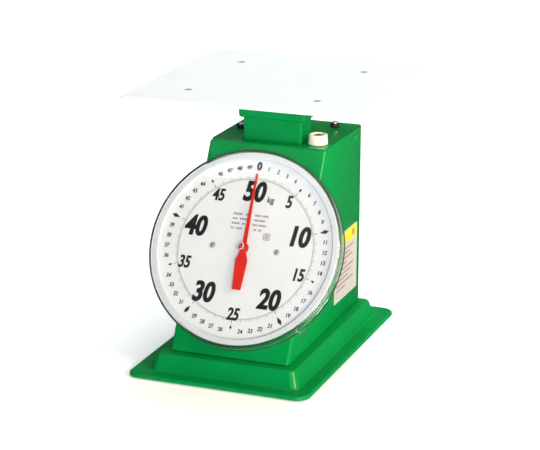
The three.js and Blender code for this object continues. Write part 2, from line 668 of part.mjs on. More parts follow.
const addLinks = () => {
  const length = Math.hypot(LINK.fixedY - LINK.movingY, LINK.rise);
  const shortest = LINK.fixedY - LINK.movingY;
  const tilt = Math.atan2(LINK.rise, LINK.fixedY - LINK.movingY);
  const halfWidth = 7;
  const slotHalf = LINK.pin + 0.4;
  // Outline along the arm, from the fixed pivot at 0 towards the moving end.
  const arm = new THREE.Shape();
  arm.absarc(0, 0, halfWidth, Math.PI / 2, 1.5 * Math.PI);
  arm.absarc(length, 0, halfWidth, -Math.PI / 2, Math.PI / 2);
  const pivot = new THREE.Path();
  pivot.absarc(0, 0, pinHole, 0, 2 * Math.PI, true);
  const slot = new THREE.Path();
  slot.absarc(shortest - 0.5, 0, slotHalf, 1.5 * Math.PI, Math.PI / 2, true);
  slot.absarc(length + 0.2, 0, slotHalf, Math.PI / 2, -Math.PI / 2, true);
  arm.holes.push(pivot, slot);
  const place = (geometry, level) => (
    geometry.applyMatrix4(new THREE.Matrix4().set(0, 0, 1, 0, -1, 0, 0, 0, 0, 1, 0, 0, 0, 0, 0, 1))
      .rotateX(-tilt)
      .translate(0, LINK.fixedY, level)
  );
  const tieAt = 14;
  for (const [name, level] of Object.entries(LINK_LEVELS)) {
    const [near, far] = [LINK.armX - LINK.armThick / 2, LINK.armX + LINK.armThick / 2];
    const link = join(
      extruded(arm, near, far, 5),
      extruded(arm, -far, -near, 5),
      rod('z', tieAt, 0, 0, -near - 1, near + 1, 3.4, 12),
    );
    add(`${name}_link`, place(link, level), STEEL);
  }
};

// ---- springs and zero adjustment ----

const eye = (z, axis, wire) => {
  const torus = new THREE.TorusGeometry(5, wire, 6, 12);
  if (axis === 'x') torus.rotateY(Math.PI / 2);
  if (axis === 'y') torus.rotateX(Math.PI / 2);
  return torus.translate(0, 0, z);
};

const addSprings = () => {
  const { radius, bottom, top } = SPRING;
  const pitch = (top - bottom) / SPRING.ridges;
  const ridges = Array.from({ length: SPRING.ridges }, (_, i) => [
    [radius - 0.9, bottom + pitch * i],
    [radius, bottom + pitch * (i + 0.5)],
  ]).flat();
  const spring = join(
    turned([[0, bottom], ...ridges, [radius - 0.9, top], [0, top]], 10),
    eye(bottom - 6.2, 'x', 1.3), eye(top + 5.65, 'x', 1.3),
    rod('z', 0, 0, 0, bottom - 2, bottom + 1, 1.3, 10), rod('z', 0, 0, 0, top - 1, top + 1.6, 1.3, 10),
  );
  add('spring_right', moved(spring, KNOB.x, KNOB.y, 0), STEEL);
  add('spring_left', moved(spring, -KNOB.x, KNOB.y, 0), STEEL);

  const eyeZ = top + 11.6;                             // eyes that the springs hang from
  const hanger = join(
    eye(eyeZ, 'y', 1.4),
    rod('z', 0, 0, 0, eyeZ + 4.4, 247.8, 2.5, 12),
  );
  add('spring_hanger', moved(hanger, KNOB.x, KNOB.y, 0), STEEL);
  const bolt = join(
    eye(eyeZ, 'y', 1.4),
    rod('z', 0, 0, 0, eyeZ + 4.4, 238.6, 2.5, 12),
    rod('z', 0, 0, 0, BRIDGE.top + GAP, BRIDGE.top + 4.2, 4.4, 6),
  );
  add('eye_bolt', moved(bolt, -KNOB.x, KNOB.y, 0), STEEL);
};

const addZeroKnob = () => {
  const { radius, height } = KNOB;
  const z = BODY.top + GAP;
  const top = z + height;
  const [screwHole, collar, collarLow] = [2.8, 5.4, z - 4];
  const knob = turned([
    [screwHole, collarLow], [collar, collarLow], [collar, z], [radius, z], [radius, top - 1.5],
    [radius - 1.5, top], [3.4, top], [3.4, top - 1.6], [0, top - 1.6], [0, top - 3.2],
    [screwHole, top - 3.2], [screwHole, collarLow],
  ], 24);
  add('zero_knob', moved(knob, KNOB.x, KNOB.y, 0), CREAM);
};

// ---- oil dashpot that stops the pointer swinging ----

const addDashpot = () => {
  const [y, bottom, rim, radius] = [62, BODY.bottom, 82, 14];
  const at = (geometry) => moved(geometry, 0, y, 0);
  add('dashpot_cylinder', at(turned([
    [0, bottom], [radius, bottom], [radius, rim], [radius - 1, rim], [radius - 1, bottom + 2],
    [0, bottom + 2],
  ], 20)), BRASS);
  add('dashpot_lid', at(ring(3.3, radius, rim + GAP, rim + 2, 20)), BRASS);
  const barFront = CHANNEL.web + CHANNEL.thick + GAP;
  add('dashpot_piston', join(
    at(rod('z', 0, 0, 0, 55, 144, 2.5, 16)),
    at(rod('z', 0, 0, 0, 58, 62, 12.2, 20)),
    box(-4, 4, barFront, y + 4, 140, 146),
  ), STEEL);
};

addBase();
addHousing();
addChassis();
addDial();
addPointer();
addMovement();
addRack();
addPlatform();
addMovingFrame();
addLinks();
addSprings();
addZeroKnob();
addDashpot();

export default scale;
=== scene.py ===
"""Looks of a mechanical dial platform scale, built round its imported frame.

Shapes are worked out in millimetres and become metres as each mesh is finished. The dial's pieces are made
flat, about their own centre, with Z out of the dial, and are then put on the sloping front by dial_matrix().
"""

import json
import math

import bmesh
import bpy
from mathutils import Matrix, Vector


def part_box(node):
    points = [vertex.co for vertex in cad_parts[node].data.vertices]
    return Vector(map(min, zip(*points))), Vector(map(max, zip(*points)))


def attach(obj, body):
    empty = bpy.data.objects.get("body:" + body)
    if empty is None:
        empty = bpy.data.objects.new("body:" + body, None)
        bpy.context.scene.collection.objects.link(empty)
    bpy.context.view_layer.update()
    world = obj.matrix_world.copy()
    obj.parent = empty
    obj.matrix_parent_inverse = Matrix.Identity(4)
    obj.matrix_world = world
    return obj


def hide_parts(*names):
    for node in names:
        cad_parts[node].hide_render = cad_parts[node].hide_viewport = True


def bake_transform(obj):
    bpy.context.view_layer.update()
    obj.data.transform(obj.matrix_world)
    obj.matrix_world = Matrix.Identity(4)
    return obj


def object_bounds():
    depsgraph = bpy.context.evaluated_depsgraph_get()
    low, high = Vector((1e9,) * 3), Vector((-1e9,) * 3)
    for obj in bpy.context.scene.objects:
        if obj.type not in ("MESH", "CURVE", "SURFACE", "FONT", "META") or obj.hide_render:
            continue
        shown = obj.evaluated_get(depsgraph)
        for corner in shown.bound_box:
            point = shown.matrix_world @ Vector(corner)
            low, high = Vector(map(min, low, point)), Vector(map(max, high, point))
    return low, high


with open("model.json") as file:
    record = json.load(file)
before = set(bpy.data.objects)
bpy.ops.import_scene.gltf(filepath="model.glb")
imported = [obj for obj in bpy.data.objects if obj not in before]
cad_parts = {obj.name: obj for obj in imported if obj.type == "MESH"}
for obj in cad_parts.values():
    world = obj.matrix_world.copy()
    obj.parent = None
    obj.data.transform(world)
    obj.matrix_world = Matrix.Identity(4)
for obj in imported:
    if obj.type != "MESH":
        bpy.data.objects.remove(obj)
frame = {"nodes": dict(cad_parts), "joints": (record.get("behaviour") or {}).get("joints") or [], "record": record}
cad_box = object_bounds()

MM = 0.001
SHARP = math.radians(32)
SHEET = 1.2                       # housing sheet thickness
GAP = 0.3                         # between pieces that touch

JOINTS = {joint["name"]: joint for joint in frame["joints"]}


def corners(node):
    """Lowest and highest corner of a CAD node, in millimetres."""
    low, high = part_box(node)
    return low / MM, high / MM


def plan_middle(node):
    """Middle of a CAD node as seen from above, at height 0."""
    low, high = corners(node)
    return Vector(((low.x + high.x) / 2, (low.y + high.y) / 2, 0))


# ---- camera, light and floor ----

CAMERA = {"azimuth": 21.02, "elevation": 16.70, "roll": 0.197, "distance": 2269.7, "lens": 129.19}
CAMERA_AIM = Vector((-8.2, 25.8, 135.2))
SENSOR = 36


def direction(azimuth, elevation):
    """From the scale towards a place round it: azimuth 0 is in front of it and 90 to its right."""
    a, e = math.radians(azimuth), math.radians(elevation)
    return Vector((math.sin(a) * math.cos(e), -math.cos(a) * math.cos(e), math.sin(e)))


def add_camera():
    data = bpy.data.cameras.new("camera")
    data.lens = CAMERA["lens"]
    data.sensor_width = SENSOR
    data.clip_end = 50
    back = direction(CAMERA["azimuth"], CAMERA["elevation"])
    right = Vector((0, 0, 1)).cross(back).normalized()
    turn = Matrix((right, back.cross(right), back)).transposed()
    turn = turn @ Matrix.Rotation(math.radians(CAMERA["roll"]), 3, "Z")
    camera = bpy.data.objects.new("camera", data)
    place = (CAMERA_AIM + back * CAMERA["distance"]) * MM
    camera.matrix_world = Matrix.Translation(place) @ turn.to_4x4()
    bpy.context.scene.collection.objects.link(camera)
    bpy.context.scene.camera = camera


def add_light(name, azimuth, elevation, distance, size, power, colour=(1, 1, 1)):
    """A square softbox that looks at the middle of the scale. Distance and size are in metres."""
    data = bpy.data.lights.new(name, "AREA")
    data.size = size
    data.energy = power
    data.color = colour
    light = bpy.data.objects.new(name, data)
    middle = (cad_box[0] + cad_box[1]) / 2
    towards = direction(azimuth, elevation)
    light.location = middle + towards * distance
    light.rotation_euler = towards.to_track_quat("Z", "Y").to_euler()
    bpy.context.scene.collection.objects.link(light)


def add_world():
    """Even pale light from all round, brighter overhead and to the right than in front."""
    world = bpy.data.worlds.new("studio")
    world.use_nodes = True
    nodes, links = world.node_tree.nodes, world.node_tree.links
    output = nodes["World Output"]
    around = nodes["Background"]
    around.inputs["Strength"].default_value = 0.75
    seen = nodes.new("ShaderNodeBackground")
    seen.inputs["Color"].default_value = (0.97, 0.97, 0.97, 1)
    place = nodes.new("ShaderNodeTexCoord")
    along = nodes.new("ShaderNodeVectorMath")
    along.operation = "DOT_PRODUCT"
    along.inputs[1].default_value = direction(75, 45)
    links.new(place.outputs["Generated"], along.inputs[0])
    ramp = nodes.new("ShaderNodeValToRGB")
    ramp.color_ramp.elements[0].position = 0.35
    ramp.color_ramp.elements[0].color = (0.1, 0.105, 0.11, 1)
    ramp.color_ramp.elements[1].position = 0.95
    ramp.color_ramp.elements[1].color = (1, 1, 1, 1)
    links.new(along.outputs["Value"], ramp.inputs["Fac"])
    links.new(ramp.outputs["Color"], around.inputs["Color"])
    rays = nodes.new("ShaderNodeLightPath")
    mix = nodes.new("ShaderNodeMixShader")
    links.new(rays.outputs["Is Camera Ray"], mix.inputs["Fac"])
    links.new(around.outputs["Background"], mix.inputs[1])
    links.new(seen.outputs["Background"], mix.inputs[2])
    links.new(mix.outputs["Shader"], output.inputs["Surface"])
    bpy.context.scene.world = world


def add_studio():
    bpy.context.scene.view_settings.view_transform = "Standard"
    add_world()
    add_light("key", azimuth=77, elevation=24, distance=2.6, size=0.5, power=37, colour=(1, 0.92, 0.42))
    add_light("front", azimuth=30, elevation=6, distance=3.2, size=1.2, power=66)
    add_light("back", azimuth=185, elevation=60, distance=2.8, size=1.8, power=66, colour=(0.94, 0.97, 1))


def add_floor():
    """A pale round floor, wide enough to fill the picture behind the scale."""
    floor = lathe("floor", [(0, 0), (9000, 0)], segments=96)
    floor.location.z = -0.2 * MM
    floor.visible_glossy = False
    floor.data.materials.append(floor_material())


# ---- materials ----


def colour(red, green, blue):
    """A colour given from 0 to 255 as a screen shows it, as the linear one a shader takes."""
    linear = [
        c / 12.92 if c <= 0.04045 else ((c + 0.055) / 1.055) ** 2.4
        for c in (red / 255, green / 255, blue / 255)
    ]
    return (*linear, 1)


class Surface:
    """A node material, built up round its Principled shader."""

    def __init__(self, name, **inputs):
        self.material = bpy.data.materials.new(name)
        self.material.use_nodes = True
        tree = self.material.node_tree
        self.nodes, self.links = tree.nodes, tree.links
        self.shader = self.nodes["Principled BSDF"]
        for socket, value in inputs.items():
            self.shader.inputs[socket.replace("_", " ")].default_value = value
        self.place = self.nodes.new("ShaderNodeTexCoord").outputs["Object"]
        self.normal = None

    def noise(self, scale, detail=2.0, stretch=None):
        """Smooth noise of about this many features to the metre, drawn out by stretch along each axis."""
        texture = self.nodes.new("ShaderNodeTexNoise")
        texture.inputs["Scale"].default_value = scale
        texture.inputs["Detail"].default_value = detail
        self.links.new(self.stretched(stretch), texture.inputs["Vector"])
        return texture.outputs["Fac"]

    def cells(self, scale):
        texture = self.nodes.new("ShaderNodeTexVoronoi")
        texture.inputs["Scale"].default_value = scale
        self.links.new(self.place, texture.inputs["Vector"])
        return texture.outputs["Color"]

    def stretched(self, stretch):
        if stretch is None:
            return self.place
        mapping = self.nodes.new("ShaderNodeMapping")
        mapping.inputs["Scale"].default_value = stretch
        self.links.new(self.place, mapping.inputs["Vector"])
        return mapping.outputs["Vector"]

    def shades(self, source, dark, light, low=0.3, high=0.7):
        """Base colour from dark to light as source goes from low to high."""
        ramp = self.nodes.new("ShaderNodeValToRGB")
        for element, position, shade in zip(ramp.color_ramp.elements, (low, high), (dark, light)):
            element.position = position
            element.color = colour(*shade)
        self.links.new(source, ramp.inputs["Fac"])
        self.links.new(ramp.outputs["Color"], self.shader.inputs["Base Color"])
        return self

    def rough(self, source, low, high):
        spread = self.nodes.new("ShaderNodeMapRange")
        spread.inputs["From Min"].default_value = 0.3
        spread.inputs["From Max"].default_value = 0.7
        spread.inputs["To Min"].default_value = low
        spread.inputs["To Max"].default_value = high
        self.links.new(source, spread.inputs["Value"])
        self.links.new(spread.outputs["Result"], self.shader.inputs["Roughness"])
        return self

    def bump(self, source, depth, strength=1.0):
        """Relief of this depth in millimetres, on top of any that is there."""
        relief = self.nodes.new("ShaderNodeBump")
        relief.inputs["Strength"].default_value = strength
        relief.inputs["Distance"].default_value = depth * MM
        self.links.new(source, relief.inputs["Height"])
        if self.normal:
            self.links.new(self.normal, relief.inputs["Normal"])
        self.normal = relief.outputs["Normal"]
        self.links.new(self.normal, self.shader.inputs["Normal"])
        return self


def floor_material():
    floor = Surface("studio_floor", Roughness=0.9, Specular_IOR_Level=0.1)
    floor.shader.inputs["Emission Color"].default_value = (1, 1, 1, 1)
    floor.shader.inputs["Emission Strength"].default_value = 0.25
    floor.shades(floor.noise(6, 3), (251, 251, 252), (253, 253, 253))
    return floor.material


def green_paint():
    """Glossy baked enamel with a slight orange peel."""
    paint = Surface("green_paint", Specular_IOR_Level=0.22)
    paint.shades(paint.noise(18, 4), (1, 136, 66), (3, 143, 72))
    paint.rough(paint.noise(60, 3), 0.17, 0.24)
    return paint.bump(paint.noise(420, 1), 0.006, 0.5).material


def white_plate():
    """Smooth semi-gloss white coating."""
    coat = Surface("white_plate")
    coat.shades(coat.noise(9, 4), (237, 242, 248), (240, 244, 250))
    coat.rough(coat.noise(20, 2), 0.38, 0.43)
    return coat.bump(coat.noise(300, 1), 0.003, 0.5).material


def dial_white():
    """Screen-printed white enamel of the dial."""
    face = Surface("dial_white")
    face.shades(face.noise(30, 3), (226, 225, 232), (231, 230, 237))
    face.rough(face.noise(200, 2), 0.42, 0.52)
    return face.bump(face.noise(1500, 2), 0.01, 0.4).material


def ring_white():
    """Satin white moulded ring."""
    ring = Surface("ring_white")
    ring.shades(ring.noise(40, 2), (210, 209, 219), (216, 215, 225))
    ring.rough(ring.noise(300, 2), 0.3, 0.4)
    return ring.bump(ring.noise(900, 1), 0.01, 0.4).material


def clear_plastic():
    """Clear acrylic with faint wiping marks."""
    clear = Surface("clear_plastic", Base_Color=colour(250, 253, 252), IOR=1.49, Transmission_Weight=1.0)
    clear.rough(clear.noise(25, 4, stretch=(1, 6, 1)), 0.0, 0.05)
    return clear.bump(clear.noise(40, 2), 0.01, 0.3).material


def dark_seal():
    seal = Surface("dark_seal")
    seal.shades(seal.noise(200, 2), (34, 45, 40), (48, 60, 54))
    seal.rough(seal.noise(400, 2), 0.5, 0.65)
    return seal.bump(seal.noise(1200, 2), 0.03).material


def pointer_red():
    """Satin red paint on thin sheet."""
    red = Surface("pointer_red", Specular_IOR_Level=0.3)
    red.shades(red.noise(60, 3), (203, 30, 19), (213, 38, 25))
    red.rough(red.noise(300, 2), 0.38, 0.5)
    return red.bump(red.noise(900, 2), 0.01, 0.5).material


def cream_plastic():
    """Moulded cream plastic, slightly translucent, with fine moulding texture."""
    cream = Surface("cream_plastic", Subsurface_Weight=0.15, Subsurface_Scale=0.002)
    cream.shades(cream.noise(120, 3), (245, 243, 220), (251, 250, 235))
    cream.rough(cream.noise(500, 2), 0.32, 0.42)
    return cream.bump(cream.noise(1600, 2), 0.02, 0.5).material


def black_rubber():
    rubber = Surface("black_rubber")
    rubber.shades(rubber.noise(300, 3), (20, 20, 21), (36, 36, 36))
    rubber.rough(rubber.noise(500, 2), 0.6, 0.8)
    return rubber.bump(rubber.noise(1400, 3), 0.05).material


def label_film():
    """Printed film with a faintly speckled ground."""
    film = Surface("label_film")
    film.shades(film.noise(240, 3), (188, 181, 185), (200, 194, 200))
    film.rough(film.noise(300, 2), 0.4, 0.55)
    return film.bump(film.noise(150, 2), 0.02, 0.5).material


def metal(name, dark, light, rough, grain, stretch=None, depth=0.01, cells=None):
    """Metal with a grain drawn out along the way it was worked. Its tone follows the grain or large cells."""
    made = Surface(name, Metallic=1.0)
    streaks = made.noise(grain, 3, stretch)
    if cells:
        made.shades(made.cells(cells), dark, light, 0.0, 1.0)
    else:
        made.shades(streaks, dark, light)
    made.rough(streaks, rough, rough + 0.15)
    return made.bump(streaks, depth, 0.6)


def bright_screw():
    return metal("bright_screw", (170, 172, 174), (214, 216, 218), 0.3, 900, (1, 1, 4)).material


def steel():
    return metal("steel", (128, 131, 134), (178, 181, 184), 0.3, 700, (1, 1, 6), 0.015).material


def spring_steel():
    return metal("spring_steel", (88, 90, 94), (140, 142, 146), 0.28, 1200, (1, 1, 2)).material


def zinc_steel():
    """Zinc plate: large pale cells under a fine grain."""
    return metal("zinc_steel", (138, 144, 147), (188, 192, 194), 0.36, 260, cells=160).material


def brass():
    return metal("brass", (160, 126, 62), (206, 170, 96), 0.26, 600, (6, 1, 1), 0.012).material


def satin_nickel():
    """Dull nickel of the dial's screws, evenly grey from every side."""
    nickel = metal("satin_nickel", (150, 150, 152), (172, 172, 174), 0.5, 500)
    nickel.shader.inputs["Metallic"].default_value = 0.4
    return nickel.material


def ink(name, dark, light):
    """A printed ink that lies a little unevenly."""
    made = Surface(name)
    made.shades(made.noise(220, 3), dark, light)
    made.rough(made.noise(700, 2), 0.4, 0.55)
    return made.bump(made.noise(1800, 2), 0.01, 0.5).material


SLOT_MATERIALS = {
    make.__name__: make()
    for make in (
        green_paint, white_plate, dial_white, ring_white, clear_plastic, dark_seal, pointer_red,
        cream_plastic, black_rubber, label_film, bright_screw, steel, spring_steel, zinc_steel, brass,
    )
}
NODE_SLOTS = {part["node"]: part["material_slot"] for part in frame["record"]["subparts"]}
NODE_BODIES = {
    node: body for body, nodes in frame["record"]["behaviour"]["bodies"].items() for node in nodes
}


# ---- shape helpers, in millimetres ----


def arc(x, y, radius, start, end, steps=12):
    """Points from one angle to another, in degrees, both ends included."""
    angles = [math.radians(start + (end - start) * i / steps) for i in range(steps + 1)]
    return [(x + radius * math.cos(a), y + radius * math.sin(a)) for a in angles]


def circle(x, y, radius, steps=48):
    return arc(x, y, radius, 0, 360, steps)[:-1]


def rectangle(x0, x1, y0, y1):
    return [(x0, y0), (x1, y0), (x1, y1), (x0, y1)]


def rounded_rectangle(x0, x1, y0, y1, radius, steps=10):
    return [
        *arc(x1 - radius, y0 + radius, radius, -90, 0, steps),
        *arc(x1 - radius, y1 - radius, radius, 0, 90, steps),
        *arc(x0 + radius, y1 - radius, radius, 90, 180, steps),
        *arc(x0 + radius, y0 + radius, radius, 180, 270, steps),
    ]


def rounded(points, steps=5):
    """An open outline of (x, y) or (x, y, fillet) points, with an arc at each point that has a fillet."""
    line = []
    for i, (x, y, *fillet) in enumerate(points):
        here = Vector((x, y))
        if not fillet:
            line.append((x, y))
            continue
        before = (Vector(points[i - 1][:2]) - here).normalized()
        after = (Vector(points[i + 1][:2]) - here).normalized()
        half = before.angle(after) / 2
        centre = here + (before + after).normalized() * fillet[0] / math.sin(half)
        first = here + before * fillet[0] / math.tan(half) - centre
        last = here + after * fillet[0] / math.tan(half) - centre
        for step in range(steps + 1):
            line.append(tuple(centre + first.slerp(last, step / steps).normalized() * fillet[0]))
    return line


def finished(name, bm):
    """The mesh as an object in metres, smooth but for its sharp edges."""
    bmesh.ops.remove_doubles(bm, verts=bm.verts, dist=1e-4)
    bmesh.ops.recalc_face_normals(bm, faces=bm.faces)
    bm.transform(Matrix.Scale(MM, 4))
    mesh = bpy.data.meshes.new(name)
    bm.to_mesh(mesh)
    bm.free()
    mesh.shade_smooth()
    mesh.set_sharp_from_angle(angle=SHARP)
    made = bpy.data.objects.new(name, mesh)
    bpy.context.scene.collection.objects.link(made)
    return made


def bridge(bm, first, second):
    """Faces between two rings of vertices. A ring of one vertex is a pole."""
    count = max(len(first), len(second))
    for i in range(count):
        j = (i + 1) % count
        near = [first[i % len(first)], first[j % len(first)]]
        far = [second[j % len(second)], second[i % len(second)]]
        bm.faces.new(list(dict.fromkeys(near + far)))


def lathe(name, profile, segments=96):
    """A piece turned about Z from (radius, height) points, which start and end on the axis or meet."""
    bm = bmesh.new()
    rings = [
        [bm.verts.new((x, y, height)) for x, y in (circle(0, 0, radius, segments) if radius else [(0, 0)])]
        for radius, height in profile
    ]
    if len(rings[0]) > 1:
        rings.append(rings[0])
    for first, second in zip(rings, rings[1:]):
        if len(first) + len(second) > 2:
            bridge(bm, first, second)
    return finished(name, bm)


def loft(name, rings):
    """A skin through rings of the same number of (x, y, z) points, closed by a flat face at each end."""
    bm = bmesh.new()
    rows = [[bm.verts.new(point) for point in ring] for ring in rings]
    for first, second in zip(rows, rows[1:]):
        bridge(bm, first, second)
    bm.faces.new(rows[0])
    bm.faces.new(rows[-1])
    return finished(name, bm)


def slab(name, loops, low, high, edge=0.0, steps=2):
    """A flat piece between two heights: an outline, a hole for each further loop, and rounded edges."""
    bm = bmesh.new()
    rims = []
    for loop in loops:
        verts = [bm.verts.new((x, y, low)) for x, y in loop]
        rims += [bm.edges.new(pair) for pair in zip(verts, verts[1:] + verts[:1])]
    bmesh.ops.triangle_fill(bm, use_beauty=True, edges=rims)
    raised = bmesh.ops.extrude_face_region(bm, geom=bm.faces[:])["geom"]
    top = [v for v in raised if isinstance(v, bmesh.types.BMVert)]
    bmesh.ops.translate(bm, verts=top, vec=(0, 0, high - low))
    bmesh.ops.recalc_face_normals(bm, faces=bm.faces)
    if edge:
        rims = [e for e in bm.edges if e.is_manifold and e.calc_face_angle() > 1]
        bmesh.ops.bevel(
            bm, geom=rims, offset=edge, segments=steps, profile=0.5, affect="EDGES", clamp_overlap=True
        )
    return finished(name, bm)


def tube(name, points, radius, sides=10):
    """A round rod along a line of points, with flat ends."""
    bm = bmesh.new()
    points = [Vector(p) for p in points]
    across = Vector((1, 0, 0)).cross(points[1] - points[0])
    if across.length < 1e-6:
        across = Vector((0, 1, 0)).cross(points[1] - points[0])
    rows = []
    for i, point in enumerate(points):
        along = (points[min(i + 1, len(points) - 1)] - points[max(i - 1, 0)]).normalized()
        across = (across - along * across.dot(along)).normalized()
        other = along.cross(across)
        rows.append([bm.verts.new(point + (across * x + other * y)) for x, y in circle(0, 0, radius, sides)])
    for first, second in zip(rows, rows[1:]):
        bridge(bm, first, second)
    bm.faces.new(rows[0])
    bm.faces.new(rows[-1])
    return finished(name, bm)


def baked(piece):
    """Applies the piece's modifiers to its mesh."""
    bpy.context.view_layer.update()
    graph = bpy.context.evaluated_depsgraph_get()
    mesh = bpy.data.meshes.new_from_object(piece.evaluated_get(graph), depsgraph=graph)
    old = piece.data
    piece.modifiers.clear()
    piece.data = mesh
    bpy.data.meshes.remove(old)
    mesh.name = piece.name


def carved(piece, *cutters):
    """Cuts the cutters out of the piece."""
    for cutter in cutters:
        cut = piece.modifiers.new("cut", "BOOLEAN")
        cut.object = cutter
        cut.solver = "EXACT"
    baked(piece)
    for cutter in cutters:
        bpy.data.objects.remove(cutter)
    piece.data.shade_smooth()
    piece.data.set_sharp_from_angle(angle=SHARP)
    return piece


def joined(name, pieces):
    """Several pieces as one object of separate closed bodies."""
    bm = bmesh.new()
    for piece in pieces:
        bm.from_mesh(piece.data)
        bpy.data.objects.remove(piece)
    mesh = bpy.data.meshes.new(name)
    bm.to_mesh(mesh)
    bm.free()
    mesh.set_sharp_from_angle(angle=SHARP)
    made = bpy.data.objects.new(name, mesh)
    bpy.context.scene.collection.objects.link(made)
    return made


def placed(piece, matrix):
    """Moves the piece's mesh by a matrix in metres, or by a vector in millimetres."""
    if isinstance(matrix, Vector):
        matrix = Matrix.Translation(matrix * MM)
    piece.data.transform(matrix)
    return piece


def facing(normal, x, y, z):
    """Matrix that turns +Z towards normal and puts the origin at a place in millimetres."""
    turn = Vector(normal).to_track_quat("Z", "Y").to_matrix().to_4x4()
    return Matrix.Translation(Vector((x, y, z)) * MM) @ turn


def settle(piece, body, slot, *nodes, material=None):
    """Gives the piece its finish, hangs it on its body and hides the CAD nodes it stands for."""
    piece.data.materials.clear()
    piece.data.materials.append(material or SLOT_MATERIALS[slot])
    even = piece.modifiers.new("flat_faces_stay_flat", "WEIGHTED_NORMAL")
    even.keep_sharp = True
    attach(piece, body)
    if nodes:
        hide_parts(*nodes)


def stand_in(piece, node):
    """Settles a piece that stands for one CAD node, with that node's body and slot."""
    settle(piece, NODE_BODIES[node], NODE_SLOTS[node], node)


def plus(reach, half):
    """Outline of a cross."""
    quarter = [(half, half), (half, reach), (-half, reach)]
    return [
        (x * math.cos(a) - y * math.sin(a), x * math.sin(a) + y * math.cos(a))
        for a in (math.radians(90 * turn) for turn in range(4))
        for x, y in quarter
    ]


def cross_screw(name, head, rise, shank, length, flat=False):
    """A cross-head screw: its head sits on z = 0, domed above it, or flat on top and tapered below."""
    if flat:
        profile = [
            (0, -length), (shank, -length), (shank, -rise), (head, -0.35, 0.12), (head - 0.1, 0, 0.1), (0, 0),
        ]
        top, recess = 0, rise * 0.75
    else:
        profile = [
            (0, -length), (shank, -length), (shank, 0), (head, 0, 0.1), (head - 0.1, rise * 0.45, 0.5),
            (head * 0.55, rise * 0.92, head * 0.5), (0, rise),
        ]
        top, recess = rise, rise * 0.6
    screw = lathe(name, rounded(profile, 4), 40)
    cutter = slab("cutter", [plus(head * 0.5, head * 0.13)], top - recess, top + 2)
    return carved(screw, cutter)


# ---- base ----

BASE_CORNER = (15.0, 6.5)         # outline corner radius at the rim and at the ledge
BASE_WIDTH = 27.0                 # across the profile, from rim to ledge
LEDGE = {"side": 10, "front": 10.6, "back": 2.8}   # how far the ledge stands out from the housing


def add_base():
    """The pressed base pan: a rounded rim, a shallow channel, a steep wall and a flat ledge."""
    rim_low, rim_high = corners("base_pan")
    housing_low, housing_high = corners("front_panel")
    back = corners("back_cover")[1].y
    ledge_low = Vector((housing_low.x - LEDGE["side"], housing_low.y - LEDGE["front"]))
    ledge_high = Vector((housing_high.x + LEDGE["side"], back + LEDGE["back"]))

    def ring(across, z):
        t = across / BASE_WIDTH
        low = rim_low.xy.lerp(ledge_low, t)
        high = rim_high.xy.lerp(ledge_high, t)
        radius = BASE_CORNER[0] + (BASE_CORNER[1] - BASE_CORNER[0]) * t
        return [(x, y, z) for x, y in rounded_rectangle(low.x, high.x, low.y, high.y, radius, 12)]

    top = rim_high.z
    inner_edge = BASE_WIDTH + 2
    outside = [
        (0, 0.9, 0.3), (0, 5.2, 2.4), (17.5, 3.3, 3), (19.4, 4.0, 1.6), (25.6, top - 0.2, 2.4),
        (inner_edge, top),
    ]
    inside = [
        (inner_edge, top - SHEET), (26.4, top - SHEET - 0.2, 1.6), (20.6, 3.0, 2.2), (18, 2.2, 1.5),
        (1.6, 3.9, 1.2), (1.2, 0.9, 0.3),
    ]
    profile = rounded([*inside, *outside])
    stand_in(loft("base_pan_pressing", [ring(*point) for point in profile]), "base_pan")


def add_feet():
    """Rubber feet: a pad under the bottom plate, held by a barb above it."""
    profile = rounded([
        (0, 0.4), (7, 0.4, 0.3), (7.4, 0, 0.2), (11.4, 0, 0.5), (12, 1.7, 0.5), (3.7, 1.7, 0.2),
        (3.7, 3.5, 0.2), (6.2, 3.5, 0.4), (4.6, 6.3, 0.5), (0, 6.3),
    ], 3)
    for number in range(1, 5):
        node = f"rubber_foot_{number}"
        stand_in(placed(lathe(f"foot_{number}", profile, 64), plan_middle(node)), node)


# ---- housing ----

FOLD = {"side": 3.6, "top": 4.5, "depth": 4.4}     # bend radii of the front sheet, and how far it folds back
DIAL_HOLE = 30.0                  # radius of the hole behind the dial
SCREW_HOLE = 2.4                  # radius of the top screws' holes
FLANGE = {"front": 12, "back": 112, "drop": 18}    # side flanges of the top sheet
BACK_SCREWS = {"x": 58, "inset": 14}               # places of the back cover's screws
RIVETS = {"y": (20.8, 103.1), "z": 229.7}


